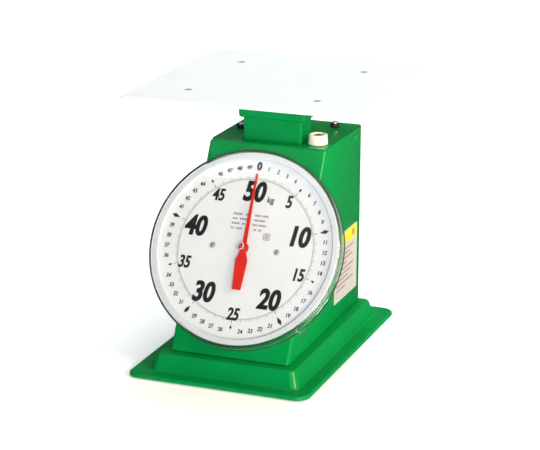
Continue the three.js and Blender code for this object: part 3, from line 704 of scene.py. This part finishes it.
def add_front_panel():
    """One sheet: the sloping face, folded back on rounded corners at both sides and over the top."""
    low, high = corners("front_panel")
    normal = -Vector(JOINTS["pointer_turn"]["axis"])
    face = Vector(JOINTS["pointer_turn"]["pos_m"]) / MM
    run = -normal.z / normal.y

    def face_y(z):
        return face.y + (z - face.z) * run

    centre_z = high.z - FOLD["top"]
    centre_y = face_y(centre_z) - FOLD["top"] / normal.y
    overrun = 4                   # drawn on below the lower edge, and cut off level at the end
    start_z = low.z - overrun
    slope_angle = math.degrees(math.atan2(normal.z, normal.y))
    stations = [((face_y(start_z), start_z), slope_angle)]
    steps = 8
    for step in range(steps + 1):
        angle = slope_angle + (90 - slope_angle) * step / steps
        stations.append((arc(centre_y, centre_z, FOLD["top"], angle, angle, 1)[0], angle))
    stations.append(((high.y - 0.1, high.z), 90))

    radius = FOLD["side"]
    right = [(high.x - radius + x, radius - y) for x, y in arc(0, 0, radius, 90, 0, steps)]
    right.append((high.x, FOLD["depth"]))
    section = [(-x, depth) for x, depth in reversed(right)] + right

    bm = bmesh.new()
    rows = []
    for (y, z), angle in stations:
        ny, nz = math.cos(math.radians(angle)), math.sin(math.radians(angle))
        rows.append([bm.verts.new((x, y - ny * depth, z - nz * depth)) for x, depth in section])
    for first, second in zip(rows, rows[1:]):
        for i in range(len(section) - 1):
            bm.faces.new((first[i], first[i + 1], second[i + 1], second[i]))
    whole = bm.verts[:] + bm.edges[:] + bm.faces[:]
    lower_edge = (0, 0, low.z + 0.7)
    bmesh.ops.bisect_plane(bm, geom=whole, plane_co=lower_edge, plane_no=(0, 0, 1), clear_inner=True)
    panel = finished("front_panel_sheet", bm)
    thicken = panel.modifiers.new("thicken", "SOLIDIFY")
    thicken.thickness = SHEET * MM
    thicken.offset = -1
    thicken.use_even_offset = True
    thicken.use_rim = True
    reach = 20
    hole = lathe("cutter", [(0, -reach), (DIAL_HOLE, -reach), (DIAL_HOLE, reach), (0, reach)], 64)
    stand_in(carved(panel, on_dial(hole)), "front_panel")


def add_top_panel():
    """Top sheet with the neck opening, the knob's hole and the screws' holes."""
    low, high = corners("top_panel")
    neck_low, neck_high = corners("neck_post")
    knob = Vector(JOINTS["zero_knob_turn"]["pos_m"]) / MM
    knob_hole = 6.6
    radius = 6.5
    outline = [
        (low.x, low.y), (high.x, low.y),
        *arc(high.x - radius, high.y - radius, radius, 0, 90, 16),
        *arc(low.x + radius, high.y - radius, radius, 90, 180, 16),
    ]
    clearance = 1.6
    opening = rounded_rectangle(
        neck_low.x - clearance, neck_high.x + clearance, neck_low.y - clearance, neck_high.y + clearance, 3
    )
    holes = [opening, circle(knob.x, knob.y, knob_hole)]
    for number in (1, 2):
        screw = plan_middle(f"top_screw_{number}")
        holes.append(circle(screw.x, screw.y, SCREW_HOLE, 24))
    sheet = slab("sheet", [outline, *holes], high.z - SHEET, high.z, 0.3)
    flanges = [flange(x, high.z) for x in (low.x, high.x - SHEET)]
    stand_in(joined("top_panel_sheet", [sheet, *flanges]), "top_panel")


def flange(x, top):
    """One of the top sheet's sides, turned down inside the housing."""
    outline = rectangle(x, x + SHEET, FLANGE["front"], FLANGE["back"])
    return slab("flange", [outline], top - FLANGE["drop"], top - SHEET, 0.2)


def add_back_cover():
    """A flat back whose two upright corners are rolled round to meet the sides."""
    low, high = corners("back_cover")
    radius = 8
    start = low.y
    outer = [
        (high.x, start), *arc(high.x - radius, high.y - radius, radius, 2, 90, 16),
        *arc(low.x + radius, high.y - radius, radius, 90, 178, 16), (low.x, start),
    ]
    inner = [
        (low.x + SHEET, start), *arc(low.x + radius, high.y - radius, radius - SHEET, 177, 90, 16),
        *arc(high.x - radius, high.y - radius, radius - SHEET, 90, 3, 16), (high.x - SHEET, start),
    ]
    stand_in(slab("back_cover_sheet", [outer + inner], low.z, high.z, 0.25), "back_cover")
    heights = (low.z + BACK_SCREWS["inset"], (low.z + high.z) / 2, high.z - BACK_SCREWS["inset"])
    places = [(x, z) for x in (-BACK_SCREWS["x"], BACK_SCREWS["x"]) for z in heights]
    for number, (x, z) in enumerate(places, start=1):
        screw = cross_screw(f"back_screw_{number}", head=3.6, rise=1.9, shank=1.7, length=6)
        settle(placed(screw, facing((0, 1, 0), x, high.y, z)), "frame", "bright_screw")


def add_rivets():
    """Painted rivets that hold the top panel's flanges to the sides."""
    wall = corners("side_panel_right")[1].x
    dome = rounded([(0, -2), (1.5, -2), (1.5, 0), (2.9, 0), (2.6, 0.7, 0.4), (1.4, 1.15, 0.8), (0, 1.25)], 4)
    places = [(side, y) for side in (-1, 1) for y in RIVETS["y"]]
    for number, (side, y) in enumerate(places, start=1):
        place = facing((side, 0, 0), side * wall, y, RIVETS["z"])
        settle(placed(lathe(f"side_rivet_{number}", dome, 40), place), "frame", "green_paint")


def add_top_screws():
    """Two domed screws on the housing top, each on a thick rubber washer."""
    bore, rim = 2.6, 5.4
    for number in (1, 2):
        washer_node, screw_node = f"top_screw_washer_{number}", f"top_screw_{number}"
        low, high = corners(washer_node)
        centre = plan_middle(washer_node)
        profile = rounded([
            (bore, high.z, 0.2), (rim, high.z, 1.3), (rim, low.z, 1.1),
            (bore, low.z, 0.1), (bore, low.z + 0.3),
        ], 5)
        stand_in(placed(lathe(f"rubber_washer_{number}", profile, 64), centre), washer_node)
        seat = high.z + GAP
        rise = corners(screw_node)[1].z - seat
        screw = cross_screw(f"dome_screw_{number}", head=3.8, rise=rise, shank=2, length=16)
        stand_in(placed(screw, Vector((centre.x, centre.y, seat))), screw_node)


def add_label():
    """A generic rating label: a pale film with a yellow band, a round spot on it and rows of plain bars."""
    low, high = corners("side_label")
    turn = Matrix(((0, 0, 1, 0), (1, 0, 0, 0), (0, 1, 0, 0), (0, 0, 0, 1)))

    def on_label(piece):
        return placed(piece, turn)

    film = slab("film", [rounded_rectangle(low.y, high.y, low.z, high.z, 2)], low.x, high.x, 0.06)
    stand_in(on_label(film), "side_label")
    under, over = high.x + 0.01, high.x + 0.07
    border, band_foot = 1.5, 16
    band_outline = rounded_rectangle(low.y + border, high.y - border, high.z - band_foot, high.z - border, 1)
    band = slab("label_band", [band_outline], under, over)
    settle(on_label(band), "frame", "label_film", material=ink("band_ink", (218, 206, 16), (226, 214, 34)))
    bars = []
    margin, tall, pitch, first = 6, 2.2, 5.6, 24
    start = low.y + margin
    for row, width in enumerate((0.92, 0.7, 0.84, 0.55, 0.9, 0.76, 0.62, 0.88, 0.48)):
        z = high.z - first - row * pitch
        end = start + (high.y - low.y - 2 * margin) * width
        bars.append(slab("bar", [rectangle(start, end, z, z + tall)], under, over))
    spot = circle(high.y - 14, high.z - 8.8, 4.4, 24)
    bars.append(slab("spot", [spot], over + 0.01, over + 0.07))
    settle(
        on_label(joined("label_bars", bars)), "frame", "label_film",
        material=ink("label_ink", (150, 118, 116), (172, 140, 136)),
    )


# ---- dial ----

DIAL_FACE = 10.0                  # height of the printed face over the sloping panel
INK_LIFT = 0.02                   # of the ink over the face
INK_THICK = 0.06
PER_KILO = 5
FULL_SCALE = 50
TICKS = {"inner": 80.3, "small": 82.6, "kilo": 84.0, "five": 85.6}     # radii of the graduations
CIRCLE_HALF = 0.15                # half the width of the line that the graduations stand on
TEN_FIGURES = 66.5                # radius of the figures at every ten kilos
FIVE_FIGURES = {5: 72.5, 15: 72.5, 25: 75, 35: 72.5, 45: 72.5}         # radius of those between them
KILO_FIGURES = 94.3               # radius of the small figures outside
ZERO_FIGURE = 96
SMALL_PRINT = (                   # rows of words: where each starts, and its letters
    ((-21, 6), (-6, 3), (5, 4), (14, 4)),
    ((-21, 3), (-12, 5), (5, 7)),
    ((-21, 5), (-9, 2), (4, 3), (11, 5)),
    ((-21, 2), (-15, 4), (6, 2), (12, 2)),
)
COVER = {"radius": 113.9, "wall": 2.4, "rim": 17.2, "dome": 28.5, "foot": 1.8}


def dial_matrix():
    """From the flat dial's own axes to the frame: X across, Y up the slope, Z out of the dial."""
    out = -Vector(JOINTS["pointer_turn"]["axis"]).normalized()
    across = Vector((1, 0, 0))
    turn = Matrix((across, out.cross(across), out)).transposed().to_4x4()
    return Matrix.Translation(Vector(JOINTS["pointer_turn"]["pos_m"])) @ turn


def on_dial(piece):
    return placed(piece, dial_matrix())


def polar(reading, radius):
    """A place on the dial, clockwise from the top, for a reading in kilos."""
    a = 2 * math.pi * reading / FULL_SCALE
    return radius * math.sin(a), radius * math.cos(a)


def spoke(reading, inner, outer, half):
    """Outline of a straight mark that points at the dial's centre."""
    (x0, y0), (x1, y1) = polar(reading, inner), polar(reading, outer)
    side = Vector((y1 - y0, x0 - x1)).normalized() * half
    return [
        (x0 + side.x, y0 + side.y), (x0 - side.x, y0 - side.y),
        (x1 - side.x, y1 - side.y), (x1 + side.x, y1 + side.y),
    ]


def printed(outline, *holes):
    """A flat patch of ink on the dial."""
    return slab("ink", [outline, *holes], DIAL_FACE + INK_LIFT, DIAL_FACE + INK_LIFT + INK_THICK)


def arrowhead(reading, inner, outer, half):
    """A kite that points at the centre."""
    x0, y0 = polar(reading, inner)
    x1, y1 = polar(reading, outer)
    waist = Vector((x0, y0)).lerp(Vector((x1, y1)), 0.6)
    side = Vector((y1 - y0, x0 - x1)).normalized() * half
    return printed([(x0, y0), tuple(waist - side), (x1, y1), tuple(waist + side)])


def lettering(text, x, y, height, width, weight=0.0, slant=0.0, bold=0.0):
    """Figures as flat ink, centred on a place. Width is a share of the font's own. Bold widens strokes."""
    if bold:
        return joined("lettering", [
            lettering(text, x + shift, y, height, width, weight, slant) for shift in (-bold, 0, bold)
        ])
    curve = bpy.data.curves.new("lettering", "FONT")
    curve.body = text
    curve.shear = slant
    curve.offset = weight
    curve.extrude = 0.5
    curve.resolution_u = 5
    source = bpy.data.objects.new("lettering", curve)
    bpy.context.scene.collection.objects.link(source)
    bpy.context.view_layer.update()
    graph = bpy.context.evaluated_depsgraph_get()
    mesh = bpy.data.meshes.new_from_object(source.evaluated_get(graph), depsgraph=graph)
    bpy.data.objects.remove(source)
    points = [v.co for v in mesh.vertices]
    low = Vector(map(min, zip(*points)))
    high = Vector(map(max, zip(*points)))
    size = height / (high.y - low.y)
    grow = Matrix.Diagonal((size * width, size, INK_THICK, 1))
    mesh.transform(Matrix.Translation(-(low + high) / 2))
    mesh.transform(Matrix.Translation((x, y, DIAL_FACE + INK_LIFT + INK_THICK / 2)) @ grow)
    mesh.transform(Matrix.Scale(MM, 4))
    made = bpy.data.objects.new("lettering", mesh)
    bpy.context.scene.collection.objects.link(made)
    return made


def graduations():
    """The line round the dial and its marks, longer at every kilo and at every fifth."""
    inner = TICKS["inner"]
    marks = [printed(circle(0, 0, inner + CIRCLE_HALF, 180), circle(0, 0, inner - CIRCLE_HALF, 180))]
    for tick in range(FULL_SCALE * PER_KILO):
        reading = tick / PER_KILO
        if tick % (5 * PER_KILO) == 0:
            end, half = TICKS["five"], 0.32
        elif tick % PER_KILO == 0:
            end, half = TICKS["kilo"], 0.24
        else:
            end, half = TICKS["small"], 0.16
        marks.append(printed(spoke(reading, inner + CIRCLE_HALF, end, half)))
    return marks


def figures():
    """Arrowheads and small figures outside the graduations, large figures inside them."""
    marks = []
    for reading in range(1, FULL_SCALE):
        if reading % 10 == 0:
            marks.append(arrowhead(reading, 88.5, 99.5, 2.4))
        elif reading % 5 == 0:
            marks.append(arrowhead(reading, 87.5, 92.5, 1.5))
        else:
            x, y = polar(reading, KILO_FIGURES)
            marks.append(lettering(str(reading), x, y, 5, 0.85, 0.02, 0.12, bold=0.12))
    marks.append(lettering("0", *polar(0, ZERO_FIGURE), 10, 0.85, 0.04, bold=0.3))
    for reading in (50, 10, 20, 30, 40):
        x, y = polar(reading, TEN_FIGURES)
        marks.append(lettering(str(reading), x, y, 24.4, 0.8, 0.035, 0.15, bold=0.35))
    for reading, radius in FIVE_FIGURES.items():
        x, y = polar(reading, radius)
        marks.append(lettering(str(reading), x, y, 14.7, 0.74, 0.03, 0.15, bold=0.2))
    marks.append(lettering("kg", 20.5, 57.5, 9.5, 0.95, 0.02, 0.1))
    return marks


def small_print():
    """Dashes in place of the small print, and a plain stamp of three bars in a frame."""
    dashes = []
    top_row, row_pitch = 39, 5.5
    wide, half, letter_pitch = 1.4, 1.1, 1.9
    for row, words in enumerate(SMALL_PRINT):
        y = top_row - row * row_pitch
        starts = [start + letter_pitch * letter for start, letters in words for letter in range(letters)]
        dashes += [printed(rectangle(x, x + wide, y - half, y + half)) for x in starts]
    frame_hole = rounded_rectangle(19.8, 26.2, 12.8, 19.2, 1)
    dashes.append(printed(rounded_rectangle(19, 27, 12, 20, 1.5), frame_hole))
    dashes += [printed(rectangle(21, 25, y, y + 1.2)) for y in (13.6, 15.4, 17.2)]
    return dashes


def add_dial_print():
    """Graduations, figures and arrowheads in black, and plain grey dashes for the small print."""
    black = ink("black_ink", (20, 18, 20), (34, 30, 33))
    main = on_dial(joined("dial_figures", graduations() + figures()))
    settle(main, "frame", "dial_white", material=black)
    grey = ink("grey_ink", (128, 110, 124), (150, 134, 146))
    small = on_dial(joined("dial_small_print", small_print()))
    settle(small, "frame", "dial_white", material=grey)


def add_dial_case():
    """Drum, dial plate, its screws, the white ring and the seal under the cover."""
    drum = rounded([
        (DIAL_HOLE, 0.3), (108.8, 0.3, 0.8), (110, 1.5, 0.8), (110, 9.9, 0.2), (108.8, 9.9, 0.2),
        (108.8, 1.6, 0.6), (DIAL_HOLE, 1.6),
    ], 4)
    stand_in(on_dial(lathe("dial_case", drum, 160)), "dial_drum")
    across = [plan_middle(f"dial_screw_{number}").x for number in (1, 2)]
    holes = [circle(0, 0, 4, 32), *[circle(x, 0, 1.9, 24) for x in across]]
    plate = slab("dial_face", [circle(0, 0, 108.4, 160), *holes], DIAL_FACE - 1.1, DIAL_FACE, 0.1)
    stand_in(on_dial(plate), "dial_plate")
    satin = satin_nickel()
    for number, x in enumerate(across, start=1):
        node = f"dial_screw_{number}"
        screw = cross_screw(f"dial_fixing_{number}", head=3.4, rise=1.3, shank=1.6, length=6)
        seat = Vector((x, 0, DIAL_FACE + GAP))
        settle(on_dial(placed(screw, seat)), NODE_BODIES[node], NODE_SLOTS[node], node, material=satin)
    ring = rounded([
        (103.6, 10.3, 0.2), (110.6, 10.3, 0.3), (110.6, 14, 0.8), (103.6, 14, 1.2), (103.6, 10.5),
    ], 5)
    stand_in(on_dial(lathe("dial_white_ring", ring, 160)), "dial_ring")
    seal = rounded([(111.5, 0.3), (114.4, 0.3, 0.3), (114.4, 1.5, 0.4), (111.5, 1.5)], 4)
    stand_in(on_dial(lathe("cover_gasket", seal, 160)), "cover_seal")


def let_light_through(piece):
    """Keeps a clear piece from darkening or doubling the light on what is behind it."""
    piece.visible_shadow = False
    piece.visible_diffuse = False


def add_cover():
    """Clear cover: upright wall, rounded rim, shallow dome and a small centre boss."""
    radius, wall, foot, top = COVER["radius"], COVER["wall"], COVER["foot"], COVER["dome"]

    def dome(r):
        return COVER["rim"] + (top - COVER["rim"]) * (1 - (r / radius) ** 2)

    rings = 14
    widest, narrowest = 106, 6
    radii = [widest - (widest - narrowest) * i / rings for i in range(rings + 1)]
    shoulder = rounded([(radius, foot, 0.4), (radius, dome(radius), 2.6), (widest, dome(widest))], 6)[1:-1]
    outside = [(radius, foot), *shoulder, *[(r, dome(r)) for r in radii[:-1]]]
    boss_top = top + 1.2
    boss = rounded([
        (radii[-1], dome(radii[-1])), (4.8, dome(5), 0.5), (4.4, boss_top, 0.6), (0, boss_top),
    ], 4)
    inner_radius = radius - wall
    inside = [(r - 0.3, dome(r) - wall) for r in reversed(radii)]
    corner = rounded([inside[-1], (inner_radius, dome(inner_radius) - wall, 1.4), (inner_radius, foot)], 5)
    cover = lathe("dial_cover", [*outside, *boss, (0, top - wall), *inside[:-1], *corner], 192)
    let_light_through(cover)
    stand_in(on_dial(cover), "clear_cover")


def add_cover_clip():
    """Small clear tab at the cover's lower right."""
    near = COVER["radius"] + GAP
    half, base, step, top = 5.5, COVER["foot"], 3.4, 12.5
    foot_outline = rounded_rectangle(near, COVER["radius"] + 8, -half, half, 1.2, 5)
    foot = slab("foot", [foot_outline], base, step, 0.2)
    upright_outline = rounded_rectangle(near, COVER["radius"] + 2.2, -half, half, 0.6, 4)
    upright = slab("upright", [upright_outline], step, top, 0.2)
    clip = joined("cover_tab", [foot, upright])
    let_light_through(clip)
    turn = Matrix.Rotation(math.radians(-45), 4, "Z")
    stand_in(on_dial(placed(clip, turn)), "cover_clip")


def add_pointer():
    """The flat red pointer with its round hub, and the cap that holds it on the shaft."""
    back, thick, hub = 13.4, 1.2, 5.9                # underside and thickness of the blade, radius of its hub
    right = [
        (0.5, 86.4), (0.9, 86), *arc(0, 0, hub, 65, -52, 12), *rounded([
            (3.6, -4.7), (7.1, -14.2, 1.2), (6.6, -24, 2), (5, -48, 0.6), (0, -48),
        ], 4)[1:-1],
    ]
    outline = [(-x, y) for x, y in reversed(right)] + right
    blade = slab("pointer_blade", [outline, circle(0, 0, 3.3, 32)], back, back + thick, 0.25)
    stand_in(on_dial(blade), "pointer")
    front = back + thick
    cap = rounded([
        (2.3, back - 1.6), (3, back - 1.6), (3, front + GAP), (5.2, front + GAP, 0.1), (5, front + 1.5, 0.5),
        (2.3, front + 1.5, 0.1), (2.3, back - 1.4),
    ], 4)
    stand_in(on_dial(lathe("pointer_cap", cap, 64)), "pointer_hub")


# ---- platform ----


def add_load_plate():
    """The flat plate with rounded corners, and four screws sunk into it."""
    low, high = corners("load_plate")
    middles = [plan_middle(f"plate_screw_{number}") for number in range(1, 5)]
    outline = rounded_rectangle(low.x, high.x, low.y, high.y, 6, 12)
    holes = [circle(middle.x, middle.y, 4.5) for middle in middles]
    stand_in(slab("load_plate_sheet", [outline, *holes], low.z, high.z, 0.45, 3), "load_plate")
    sunk = 0.1
    for number, middle in enumerate(middles, start=1):
        screw = cross_screw(f"plate_fixing_{number}", head=4.0, rise=2.1, shank=2, length=9.8, flat=True)
        seat = Vector((middle.x, middle.y, high.z - sunk))
        stand_in(placed(screw, seat), f"plate_screw_{number}")


def box_ring(low, high, radius, inset, z, steps=8):
    """Rounded rectangle of a box's plan, drawn in by inset, at one height."""
    x0, x1, y0, y1 = low.x + inset, high.x - inset, low.y + inset, high.y - inset
    return [(x, y, z) for x, y in rounded_rectangle(x0, x1, y0, y1, max(radius - inset, 0.4), steps)]


def add_neck():
    """The square neck and the cap it carries, which is open below where the neck goes in."""
    low, high = corners("neck_cap")
    neck_low, neck_high = corners("neck_post")
    pocket_low, pocket_high = neck_low - Vector((GAP, GAP, 0)), neck_high + Vector((GAP, GAP, 0))
    fillet = rounded([(3, low.z), (0, low.z, 3), (0, high.z, 0.8), (2, high.z)], 6)
    rings = [
        box_ring(pocket_low, pocket_high, 2.8, 0, high.z - 3),
        box_ring(pocket_low, pocket_high, 2.8, 0, low.z),
        *[box_ring(low, high, 4, inset, z) for inset, z in fillet[1:]],
    ]
    stand_in(loft("neck_cap_pressing", rings), "neck_cap")
    wall = 1.5
    inner_low, inner_high = neck_low + Vector((wall, wall, 0)), neck_high - Vector((wall, wall, 0))
    rings = [
        box_ring(inner_low, inner_high, 1.2, 0, neck_high.z - wall),
        box_ring(inner_low, inner_high, 1.2, 0, neck_low.z),
        box_ring(neck_low, neck_high, 2.5, 0, neck_low.z),
        box_ring(neck_low, neck_high, 2.5, 0, neck_high.z),
    ]
    stand_in(loft("neck_tube", rings), "neck_post")


def add_knob():
    """Zero knob: a tapered cream cap with a dished top and a brass hexagon nut in it, whose brass colour is also
    painted shade that darkens the dish to a brownish tone.
    """
    low, high = corners("zero_knob")
    centre = plan_middle("zero_knob")
    radius, bore, stem = (high.x - low.x) / 2, 2.8, 5.4
    seat, dish = low.z + 4, high.z - 2.4
    profile = rounded([
        (bore, low.z), (stem, low.z), (stem, seat), (radius, seat, 0.8), (radius - 0.7, high.z, 1.3),
        (radius - 2.9, high.z, 0.5), (radius - 3.3, dish, 0.6), (bore, dish, 0.2), (bore, low.z + 0.2),
    ], 5)
    stand_in(placed(lathe("zero_knob_cap", profile, 96), centre), "zero_knob")
    # The nut is partly a real part and partly painted shade: its brass darkens the dish where the recess falls
    # into shadow.
    nut = slab("zero_knob_nut_painted_shade", [circle(0, 0, 4.9, 6), circle(0, 0, bore, 32)], dish, high.z - 0.8, 0.2)
    settle(placed(nut, centre), "zero_knob", "brass")


# ---- springs ----

WIRE = 0.95                       # radius of the spring wire
COILS = 56
SPRING_RADIUS = 7.4               # outside the coils
COIL_ENDS = (73.0, 208.4)         # heights of the lowest and highest turn
HOOK_OFFSETS = (-6.2, 5.65)       # from those turns to the middles of the hooks
HOOK_RADIUS = 5


def hook(centre, end, offset, radius):
    """Points of an end loop that stands over the coil's axis, in to the first turn."""
    z = end + offset
    way = math.copysign(1, offset)
    loop = []
    for angle in range(150, -181, -15):
        a = math.radians(angle)
        loop.append((centre.x, centre.y + HOOK_RADIUS * math.sin(a), z + way * HOOK_RADIUS * math.cos(a)))
    return [*loop[:-1], (centre.x + radius * 0.55, centre.y, end + way * 0.9)]


def add_springs():
    """Close-wound extension springs with a hook at each end, which stretch between frame and platform."""
    bottom, top = COIL_ENDS
    radius = SPRING_RADIUS - WIRE
    steps = 20
    for side in ("left", "right"):
        low, high = corners(f"spring_{side}")
        centre = (low + high) / 2
        points = hook(centre, bottom, HOOK_OFFSETS[0], radius)
        for step in range(COILS * steps + 1):
            a = 2 * math.pi * step / steps
            z = bottom + (top - bottom) * step / (COILS * steps)
            points.append((centre.x + radius * math.cos(a), centre.y + radius * math.sin(a), z))
        points += reversed(hook(centre, top, HOOK_OFFSETS[1], radius))
        spring = tube(f"coil_spring_{side}", points, WIRE, 8)
        spring.data.materials.append(SLOT_MATERIALS["spring_steel"])
        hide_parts(f"spring_{side}")
        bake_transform(spring)


# ---- CAD nodes that keep their own mesh ----

EDGE = 0.35                       # width of their rounded edges


def smoothing():
    """Geometry nodes that shade smooth across shallow edges."""
    group = bpy.data.node_groups.new("smooth_shading", "GeometryNodeTree")
    group.interface.new_socket("Geometry", in_out="INPUT", socket_type="NodeSocketGeometry")
    group.interface.new_socket("Geometry", in_out="OUTPUT", socket_type="NodeSocketGeometry")
    start, end = group.nodes.new("NodeGroupInput"), group.nodes.new("NodeGroupOutput")
    angle = group.nodes.new("GeometryNodeInputMeshEdgeAngle")
    over = group.nodes.new("FunctionNodeCompare")
    over.inputs["B"].default_value = SHARP
    faces = group.nodes.new("GeometryNodeSetShadeSmooth")
    edges = group.nodes.new("GeometryNodeSetShadeSmooth")
    edges.domain = "EDGE"
    edges.inputs["Shade Smooth"].default_value = False
    links = group.links
    links.new(start.outputs[0], faces.inputs["Geometry"])
    links.new(faces.outputs["Geometry"], edges.inputs["Geometry"])
    links.new(angle.outputs["Unsigned Angle"], over.inputs["A"])
    links.new(over.outputs["Result"], edges.inputs["Selection"])
    links.new(edges.outputs["Geometry"], end.inputs[0])
    return group


def finish_cad_nodes():
    """Material, rounded edges and smooth shading for every CAD node that is still shown."""
    group = smoothing()
    for name, node in frame["nodes"].items():
        if node.hide_render:
            continue
        node.data.materials.clear()
        node.data.materials.append(SLOT_MATERIALS[NODE_SLOTS[name]])
        weld = node.modifiers.new("weld", "WELD")
        weld.merge_threshold = 1e-6
        flat = node.modifiers.new("flat_faces", "DECIMATE")
        flat.decimate_type = "DISSOLVE"
        flat.angle_limit = math.radians(1)
        edge = node.modifiers.new("edges", "BEVEL")
        edge.width = EDGE * MM
        edge.segments = 2
        edge.limit_method = "ANGLE"
        edge.angle_limit = math.radians(40)
        shading = node.modifiers.new("shading", "NODES")
        shading.node_group = group


add_camera()
add_studio()
add_floor()
add_base()
add_feet()
add_front_panel()
add_top_panel()
add_back_cover()
add_rivets()
add_top_screws()
add_label()
add_dial_case()
add_dial_print()
add_cover()
add_cover_clip()
add_pointer()
add_load_plate()
add_neck()
add_knob()
add_springs()
finish_cad_nodes()
